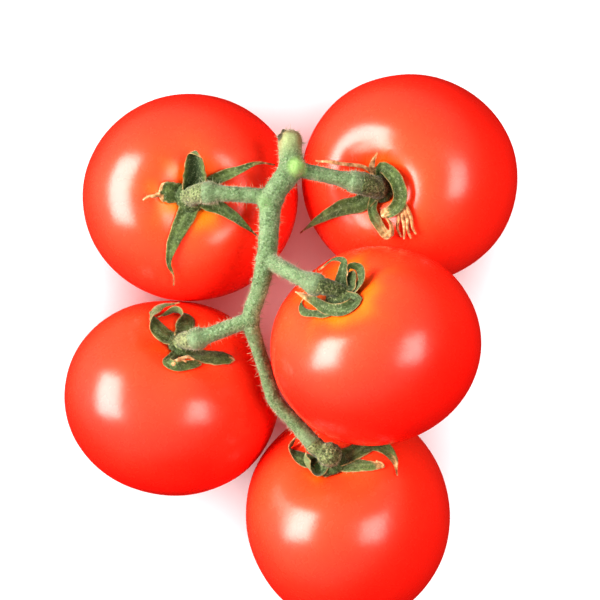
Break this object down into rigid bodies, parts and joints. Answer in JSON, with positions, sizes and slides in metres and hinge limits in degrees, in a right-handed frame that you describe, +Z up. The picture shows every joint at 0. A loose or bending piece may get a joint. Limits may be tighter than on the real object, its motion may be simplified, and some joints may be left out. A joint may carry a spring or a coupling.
{
  "type": "vine tomato truss",
  "caption": "Cut truss of ripe red vine tomatoes: smooth glossy fruits with dimpled stem ends, curled green calyces and a branching stalk, lying with the stalk uppermost.",
  "frame": {"origin": "on the table under the middle of the truss, at the bottom centre of its box", "axes": "+Z up from the table, +Y along the truss towards the cut end of the stalk, +X across it to the right"},
  "size_m": [0.1356, 0.1644, 0.0875],
  "materials": {
    "skin": "smooth, waxy and glossy ripe skin",
    "stalk": "matt grey-green stalk with fine short hairs",
    "sepal": "matt dark green leaf with dry tan tips"
  },
  "bodies": {
    "root": {"vine_stalk": "stalk", "calyx_upper_left": "sepal", "calyx_upper_right": "sepal", "calyx_raised": "sepal", "calyx_lower_left": "sepal", "calyx_tip": "sepal", "tomato_upper_left": "skin", "tomato_upper_right": "skin", "tomato_raised": "skin", "tomato_lower_left": "skin", "tomato_tip": "skin"}
  },
  "joints": []
}
